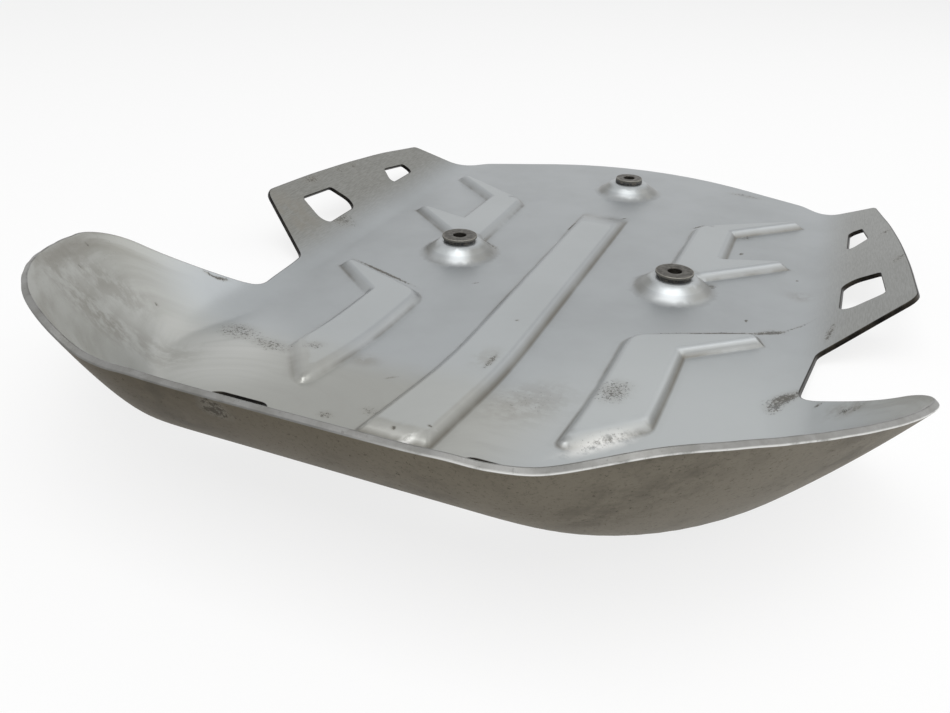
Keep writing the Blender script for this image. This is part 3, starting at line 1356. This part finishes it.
@dataclass(frozen=True)
class Softbox:
    """A square area lamp: place and aim in metres, side in metres, power in watts."""

    name: str
    place: Colour
    aim: Colour
    side: float
    power: float

    def build(self) -> None:
        """The lamp, turned so that it shines from its place to its aim."""
        light = bpy.data.lights.new(self.name, "AREA")
        light.shape = "SQUARE"
        light.size = self.side
        light.energy = self.power
        lamp = bpy.data.objects.new(self.name, light)
        bpy.context.scene.collection.objects.link(lamp)
        back = unit(np.array(self.place) - np.array(self.aim))
        right = unit(np.cross(LAMP_UP, back))
        lamp.matrix_world = axes_matrix(right, np.cross(back, right), back, np.array(self.place))


def axes_matrix(right: Array, up: Array, back: Array, place: Array) -> Matrix:
    """A world matrix with the given axes as its columns."""
    rows = np.eye(4)
    rows[:3, :4] = np.column_stack([right, up, back, place])
    return Matrix(rows.tolist())


@dataclass(frozen=True)
class Studio:
    """Pale floor, soft light and the camera at the photograph's angle."""

    datum: Datum
    focal_px: float = 822.52
    image_width: float = 950.0
    sensor: float = 36.0
    azimuth: float = radians(22.409)
    elevation: float = radians(29.010)
    roll: float = radians(1.138)
    eye: Colour = (105.94, -367.10, 160.11)
    near_clip: float = 0.01
    floor_half: float = 4.0
    floor_grey: float = 0.86
    floor_white: float = 0.8
    sky_light: float = 0.35
    lamps: tuple[Softbox, ...] = (
        Softbox("top_softbox", (0.10, -0.36, 1.25), (0.0, 0.0, 0.0), 1.15, 13.0),
        Softbox("right_softbox", (1.05, 0.5, 0.7), (0.0, 0.0, 0.0), 1.3, 6.5),
        Softbox("left_softbox", (-1.3, -0.3, 0.9), (0.0, 0.0, 0.0), 0.9, 1.2),
    )

    @staticmethod
    def seen(t: Tree) -> bpy.types.NodeSocket:
        """One for camera, glossy and transmission rays, and nought for the light itself."""
        path = t.node("ShaderNodeLightPath")
        first = t.most(path.outputs["Is Camera Ray"], path.outputs["Is Glossy Ray"])
        return t.most(first, path.outputs["Is Transmission Ray"])

    def world(self) -> None:
        """White as a background and in reflections, softer as a light."""
        world = bpy.data.worlds.new("studio")
        world.use_nodes = True
        bpy.context.scene.world = world
        t = Tree(world.node_tree)
        out, mix = t.node("ShaderNodeOutputWorld"), t.node("ShaderNodeMixShader")
        light, white = t.node("ShaderNodeBackground"), t.node("ShaderNodeBackground")
        light.inputs["Strength"].default_value = self.sky_light
        white.inputs["Color"].default_value = (1.0, 1.0, 1.0, 1.0)
        light.inputs["Color"].default_value = (1.0, 1.0, 1.0, 1.0)
        t.put(mix.inputs[0], self.seen(t))
        t.put(mix.inputs[1], light.outputs[0])
        t.put(mix.inputs[2], white.outputs[0])
        t.put(out.inputs["Surface"], mix.outputs[0])

    def floor(self) -> None:
        """A wide pale floor that keeps the shadow."""
        half = self.floor_half
        mesh = bpy.data.meshes.new("floor")
        mesh.from_pydata([(-half, -half, 0), (half, -half, 0), (half, half, 0), (-half, half, 0)], [],
                         [(0, 1, 2, 3)])
        floor = bpy.data.objects.new("floor", mesh)
        bpy.context.scene.collection.objects.link(floor)
        material = bpy.data.materials.new("pale_floor")
        material.use_nodes = True
        t = Tree(material.node_tree)
        out, mix = t.node("ShaderNodeOutputMaterial"), t.node("ShaderNodeMixShader")
        paint, white = t.node("ShaderNodeBsdfDiffuse"), t.node("ShaderNodeEmission")
        paint.inputs["Color"].default_value = (*[self.floor_grey] * 3, 1.0)
        white.inputs["Color"].default_value = (1.0, 1.0, 1.0, 1.0)
        t.put(mix.inputs[0], t.times(self.seen(t), self.floor_white))
        t.put(mix.inputs[1], paint.outputs[0])
        t.put(mix.inputs[2], white.outputs[0])
        t.put(out.inputs["Surface"], mix.outputs[0])
        mesh.materials.append(material)

    def camera(self) -> None:
        """The photograph's camera: a turn, a tilt and a small roll about the line of sight."""
        a, e = self.azimuth, self.elevation
        back = np.array([sin(a) * cos(e), -cos(a) * cos(e), sin(e)])
        right = np.array([cos(a), sin(a), 0.0])
        up = np.cross(back, right)
        c, s = cos(self.roll), sin(self.roll)
        right, up = c * right + s * up, c * up - s * right
        lens = bpy.data.cameras.new("photo_camera")
        lens.sensor_fit = "HORIZONTAL"
        lens.sensor_width = self.sensor
        lens.lens = self.focal_px * self.sensor / self.image_width
        lens.clip_start = self.near_clip
        camera = bpy.data.objects.new("photo_camera", lens)
        bpy.context.scene.collection.objects.link(camera)
        eye = self.datum.place(np.array([self.eye]))[0]
        camera.matrix_world = axes_matrix(right, up, back, eye)
        bpy.context.scene.camera = camera

    def build(self) -> None:
        """World, floor, lamps and camera."""
        self.world()
        self.floor()
        for lamp in self.lamps:
            lamp.build()
        self.camera()
        bpy.context.scene.view_settings.view_transform = "Standard"


def main() -> None:
    """Builds the plate, the mounts and the studio."""
    logging.basicConfig(level=logging.INFO)
    datum = Datum.from_mounts()
    effects = SurfaceEffects()
    plate = PressedPlate(datum)
    plate.build().data.materials.append(AluminiumFinish(effects).material())
    rubber = RubberFinish(effects).material()
    for (name, flange_r), place in zip(MOUNTS, plate.pressings.mounts):
        grommet, bush = Mount(name, place, flange_r, datum).build()
        grommet.data.materials.append(rubber)
        bush.data.materials.append(SteelFinish(effects, flange_r).material())
    Studio(datum).build()


if __name__ == "__main__":
    main()
